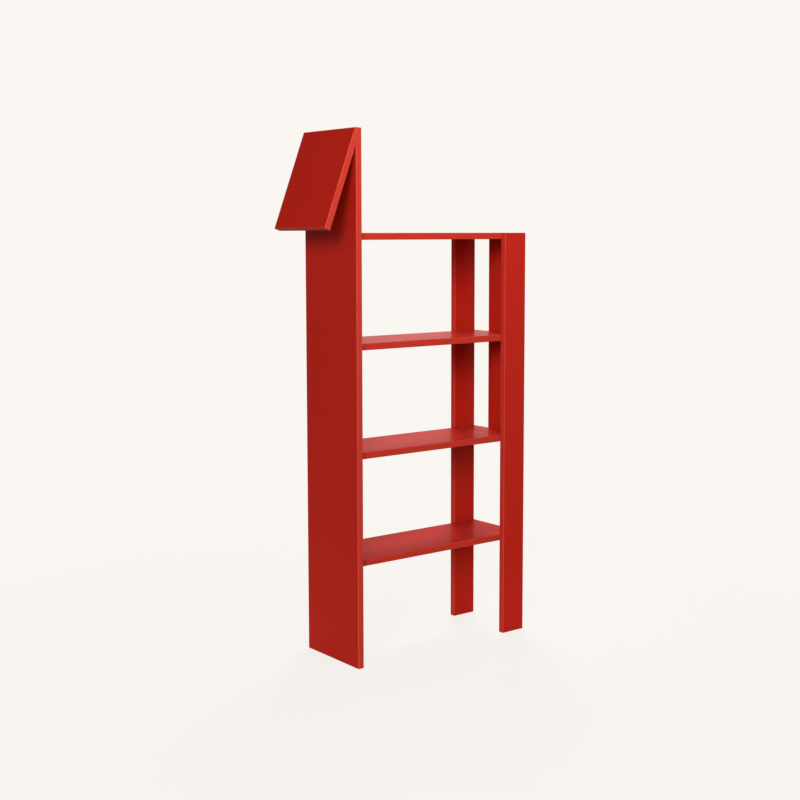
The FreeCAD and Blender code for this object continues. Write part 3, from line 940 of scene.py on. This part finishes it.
@dataclass
class Fittings:
    """Dowels, cam bolts, cam discs and screws, which keep their solids' shape."""

    joints: tuple[str, ...] = ("neck", "front_leg", "rear_leg", "tail")

    def dress(self, beech: Material, steel: Material, zinc: Material) -> None:
        """Give each group of fittings its finish.

        Args:
            beech: For the dowels.
            steel: For the bolts and screws.
            zinc: For the cam discs.
        """
        finish = {"head_screws": steel, "head_dowels": beech}
        for joint in self.joints:
            finish |= {f"{joint}_dowels": beech, f"{joint}_cam_bolts": steel,
                       f"{joint}_cam_discs": zinc}
        for name, material in finish.items():
            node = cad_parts[name]
            for slot in node.material_slots:
                slot.material = material
            log.info("%s: %s", name, material.name)


@dataclass(frozen=True)
class StudioLamp(ABC):
    """A soft lamp of the studio."""

    name: str

    @abstractmethod
    def build(self) -> None:
        """Make the lamp."""

    def hang(self, light: bpy.types.Light, backward: Vector) -> bpy.types.Object:
        """Put a light in the scene.

        Args:
            light: The light's data.
            backward: The way against its beam.

        Returns:
            The lamp.
        """
        lamp = bpy.data.objects.new(self.name, light)
        lamp.rotation_euler = backward.to_track_quat("Z", "Y").to_euler()
        bpy.context.scene.collection.objects.link(lamp)
        return lamp


@dataclass(frozen=True)
class SoftSun(StudioLamp):
    """A broad, distant lamp, placed by its direction from the object and not seen in gloss.

    Angles are in degrees, and azimuth turns from the front towards the neck's side.
    """

    azimuth: float
    elevation: float
    spread: float
    strength: float

    def build(self) -> None:
        """Make the lamp."""
        light = bpy.data.lights.new(self.name, "SUN")
        light.angle = math.radians(self.spread)
        light.energy = self.strength
        turn, rise = math.radians(self.azimuth), math.radians(self.elevation)
        level = math.cos(rise)
        towards = Vector((-math.sin(turn) * level, -math.cos(turn) * level, math.sin(rise)))
        self.hang(light, towards).visible_glossy = False


@dataclass(frozen=True)
class SoftBox(StudioLamp):
    """A square lamp near the object, which faces a point on it."""

    place: Place
    aim: Place
    size: float
    power: float
    in_gloss: bool = True
    in_diffuse: bool = True

    def build(self) -> None:
        """Make the lamp and turn it towards its aim."""
        light = bpy.data.lights.new(self.name, "AREA")
        light.shape = "SQUARE"
        light.size = self.size
        light.energy = self.power
        lamp = self.hang(light, Vector(self.place) - Vector(self.aim))
        lamp.location = self.place
        lamp.visible_camera = False
        lamp.visible_glossy = self.in_gloss
        lamp.visible_diffuse = self.in_diffuse


@dataclass
class Studio:
    """Pale floor, soft lamps, surroundings and the camera."""

    backdrop: Colour = srgb(250, 246, 241)
    ceiling: Colour = (0.12, 0.12, 0.12)
    ceiling_fade: tuple[float, float] = (0.08, 0.28)
    ambient: float = 0.28
    floor_seen: Colour = (0.78, 0.755, 0.72)
    # Floor colours for scattered light: a painted pool of light, pale near the object and dark grey
    # further off.
    floor_near: Colour = (0.76, 0.74, 0.71)
    floor_far: Colour = (0.20, 0.20, 0.20)
    bounce_reach: float = 1.3
    shadow_share: float = 0.12
    shadow_reach: float = 1.6
    shadow_knee: float = 0.5
    shadow_softness: float = 0.3
    floor_rings: tuple[float, ...] = (0.5, 1.0, 2.0, 4.0, 14.0)
    floor_drop: float = 0.0003
    lamps: tuple[StudioLamp, ...] = (
        SoftSun("key", azimuth=50.0, elevation=18.0, spread=22.0, strength=2.05),
        SoftBox("shelf_front", place=(0.1, -0.9, 1.85), aim=(0.05, 0.0, 0.9),
                size=0.5, power=7.2),
        SoftBox("head_side", place=(-0.75, -1.1, 1.35), aim=(-0.26, -0.1, 1.25),
                size=0.4, power=4.4),
        SoftBox("low_front", place=(-0.5, -1.5, 0.3), aim=(0.0, 0.0, 0.15),
                size=0.8, power=2.0),
        SoftBox("behind", place=(0.9, 0.9, 1.9), aim=(0.05, 0.0, 0.85),
                size=0.6, power=34.0, in_gloss=False),
        SoftBox("white_card", place=(1.45, -1.9, 0.8), aim=(0.05, 0.0, 0.7),
                size=1.6, power=12.0, in_diffuse=False),
    )
    eye: Place = (-2.252958, -2.866675, 1.149471)
    heading: float = math.radians(37.8623)
    pitch: float = math.radians(5.731)
    roll: float = math.radians(-0.1034)
    focal_pixels: float = 1317.18
    axis_row: float = 366.0
    sensor: float = 36.0

    def floor(self) -> None:
        """Disc of rings and spokes: each point is a ring's radius times the unit circle."""
        ring = np.array(self.floor_rings)[:, None, None] * circle(FLOOR_SPOKES)
        level = np.full((*ring.shape[:2], 1), -self.floor_drop)
        points = np.concatenate([ring, level], axis=-1)
        up = np.array([0.0, 0.0, 1.0])
        none = np.zeros(points.shape[:2])
        shell = Shell()
        shell.add_grid(points, np.broadcast_to(up, points.shape), none, none)
        shell.add_flat(points[0], up, 0.0, [np.arange(FLOOR_SPOKES)])
        mesh = shell.mesh("floor")
        mesh.materials.append(self.floor_material())
        floor = bpy.data.objects.new("floor", mesh)
        bpy.context.scene.collection.objects.link(floor)

    @staticmethod
    def shown(nodes: NodeTree, path: bpy.types.Node) -> Socket:
        """1 for what is seen straight, in gloss or through glass, and 0 for scattered light."""
        mirrored = nodes.math("MAXIMUM", path.outputs["Is Glossy Ray"],
                              path.outputs["Is Transmission Ray"])
        return nodes.math("MAXIMUM", path.outputs["Is Camera Ray"], mirrored)

    def floor_material(self) -> Material:
        """White floor with a painted pool of light: it scatters light as a pale floor near the
        object and as a dark grey one further off.

        It is seen as the plain backdrop with a share of the floor's own shading, which fades out
        away from the object, and not at all from below.

        Returns:
            The floor's material.
        """
        material = bpy.data.materials.new("floor")
        material.use_nodes = True
        nodes = NodeTree(material.node_tree)
        path = nodes.add("LightPath")
        shown = self.shown(nodes, path)
        length = nodes.add("VectorMath", operation="LENGTH")
        nodes.link(nodes.add("TexCoord").outputs["Object"], length.inputs[0])
        distance = length.outputs["Value"]

        matt, plain, clear = (nodes.add(kind) for kind in
                              ("BsdfDiffuse", "Emission", "BsdfTransparent"))
        # Painted pool of light: the floor's scattering colour darkens with distance from the
        # object.
        away = nodes.math("DIVIDE", distance, self.bounce_reach, clamp=True)
        bounce = nodes.mix(away, self.floor_near, self.floor_far)
        nodes.link(nodes.mix(path.outputs["Is Camera Ray"], bounce, self.floor_seen),
                   matt.inputs["Color"])
        plain.inputs["Color"].default_value = (*self.backdrop, 1.0)

        gone = nodes.math("DIVIDE", distance, self.shadow_reach)
        near = nodes.math("SUBTRACT", 1.0, gone, clamp=True)
        level = nodes.math("SMOOTH_MIN", near, self.shadow_knee, self.shadow_softness)
        soft = nodes.math("DIVIDE", level, self.shadow_knee, clamp=True)
        hidden = nodes.math("SUBTRACT", 1.0, nodes.math("MULTIPLY", soft, self.shadow_share))
        share = nodes.math("SUBTRACT", 1.0, nodes.math("MULTIPLY", shown, hidden))
        below = nodes.math("MULTIPLY", nodes.add("NewGeometry").outputs["Backfacing"], shown)
        upper = nodes.mix_shaders(share, plain, matt)
        whole = nodes.mix_shaders(below, upper, clear)
        nodes.link(whole.outputs[0], nodes.add("OutputMaterial").inputs["Surface"])
        return material

    def surroundings(self) -> None:
        """World: the pale backdrop where it is seen, dimmer overhead in gloss, and weak even light.

        The backdrop fades to the ceiling between two heights, which are sines of the angle above
        the horizon.
        """
        world = bpy.data.worlds.new("surroundings")
        world.use_nodes = True
        bpy.context.scene.world = world
        nodes = NodeTree(world.node_tree)
        path = nodes.add("LightPath")
        split = nodes.add("SeparateXYZ")
        nodes.link(nodes.add("TexCoord").outputs["Generated"], split.inputs[0])
        above = nodes.ramp(split.outputs["Z"], *self.ceiling_fade)
        unseen = nodes.math("SUBTRACT", 1.0, path.outputs["Is Camera Ray"])
        overhead = nodes.math("MULTIPLY", above, unseen)
        seen, ambient = nodes.add("Background"), nodes.add("Background")
        nodes.link(nodes.mix(overhead, self.backdrop, self.ceiling), seen.inputs["Color"])
        ambient.inputs["Color"].default_value = (*self.backdrop, 1.0)
        ambient.inputs["Strength"].default_value = self.ambient
        whole = nodes.mix_shaders(self.shown(nodes, path), ambient, seen)
        nodes.link(whole.outputs[0], nodes.add("OutputWorld").inputs["Surface"])

    def camera(self) -> None:
        """Camera at the photograph's place: heading, then pitch down, then roll about its line."""
        ahead = np.array([math.sin(self.heading), math.cos(self.heading), 0.0])
        right = np.array([math.cos(self.heading), -math.sin(self.heading), 0.0])
        up = np.array([0.0, 0.0, 1.0])
        look = math.cos(self.pitch) * ahead - math.sin(self.pitch) * up
        rise = math.sin(self.pitch) * ahead + math.cos(self.pitch) * up
        level = math.cos(self.roll) * right + math.sin(self.roll) * rise
        head = -math.sin(self.roll) * right + math.cos(self.roll) * rise
        pose = np.eye(4)
        pose[:3] = np.column_stack([level, head, -look, self.eye])
        lens = bpy.data.cameras.new("camera")
        lens.sensor_width = self.sensor
        lens.lens = self.focal_pixels / IMAGE_SIZE * self.sensor
        lens.shift_y = (self.axis_row - IMAGE_SIZE / 2) / IMAGE_SIZE
        camera = bpy.data.objects.new("camera", lens)
        bpy.context.scene.collection.objects.link(camera)
        camera.matrix_world = Matrix(pose.tolist())
        bpy.context.scene.camera = camera

    def build(self) -> None:
        """Set the scene up round the object."""
        bpy.context.scene.view_settings.view_transform = "Standard"
        self.floor()
        self.surroundings()
        for lamp in self.lamps:
            lamp.build()
        self.camera()


def main() -> None:
    """Build and dress the bookshelf, and set the studio up round it."""
    logging.basicConfig(level=logging.INFO, format="%(name)s: %(message)s")
    effects = Effects()
    finish = LacquerFinish()
    lacquer = finish.material(effects)
    for part in (NeckAndHead(), ShelfBody(), LegsAndTail()):
        part.build(lacquer, finish.slot)
    Fittings().dress(BeechFinish().material(effects), STEEL.material(effects),
                     ZINC.material(effects))
    Studio().build()


if __name__ == "__main__":
    main()
